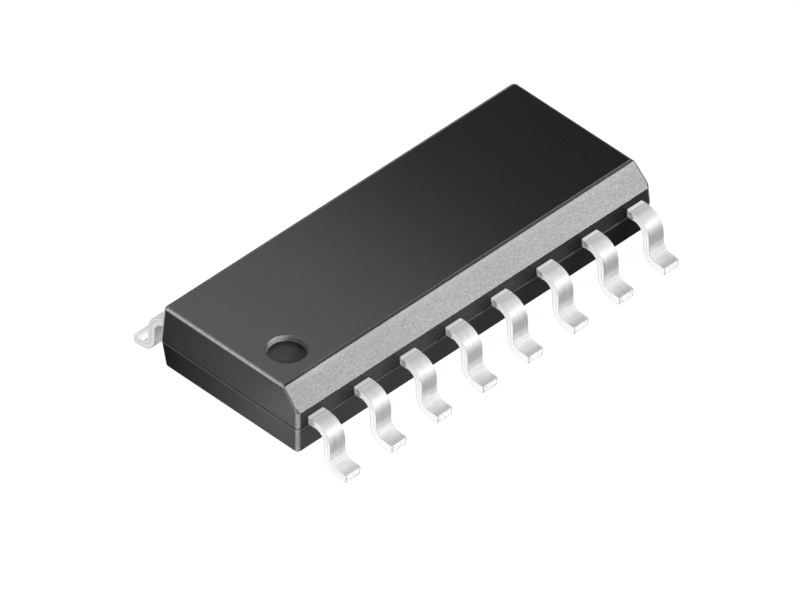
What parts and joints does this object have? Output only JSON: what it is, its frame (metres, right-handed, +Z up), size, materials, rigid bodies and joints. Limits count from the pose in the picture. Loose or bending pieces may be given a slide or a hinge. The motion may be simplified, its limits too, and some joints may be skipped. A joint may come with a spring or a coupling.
{
  "type": "instrumentation amplifier",
  "caption": "Surface-mount integrated circuit in a moulded small-outline package, with two rows of gull-wing leads, a bevelled long edge and a round lead-one dimple.",
  "frame": {"origin": "centre of the footprint, on the seating plane that the lead toes stand on", "axes": "+Z up out of the board, +X along the rows of leads from lead 1 to lead 8, leads 1 to 8 and the bevel on the -Y side"},
  "size_m": [0.0098, 0.006, 0.0018],
  "materials": {
    "mould_compound": "satin black moulding compound",
    "tinned_copper": "satin tin plating",
    "bare_copper": "bare copper strip",
    "silver_epoxy": "cured silver-filled adhesive",
    "silicon": "polished opaque silicon",
    "gold": "bright gold wire"
  },
  "bodies": {
    "root": {"body": "mould_compound", "lead_01": "tinned_copper", "lead_02": "tinned_copper", "lead_03": "tinned_copper", "lead_04": "tinned_copper", "lead_05": "tinned_copper", "lead_06": "tinned_copper", "lead_07": "tinned_copper", "lead_08": "tinned_copper", "lead_09": "tinned_copper", "lead_10": "tinned_copper", "lead_11": "tinned_copper", "lead_12": "tinned_copper", "lead_13": "tinned_copper", "lead_14": "tinned_copper", "lead_15": "tinned_copper", "lead_16": "tinned_copper", "die_paddle": "bare_copper", "die_adhesive": "silver_epoxy", "die": "silicon", "bond_wire_01": "gold", "bond_wire_02": "gold", "bond_wire_03": "gold", "bond_wire_04": "gold", "bond_wire_05": "gold", "bond_wire_06": "gold", "bond_wire_07": "gold", "bond_wire_08": "gold", "bond_wire_09": "gold", "bond_wire_10": "gold", "bond_wire_11": "gold", "bond_wire_12": "gold", "bond_wire_13": "gold", "bond_wire_14": "gold", "bond_wire_15": "gold", "bond_wire_16": "gold"}
  },
  "joints": []
}
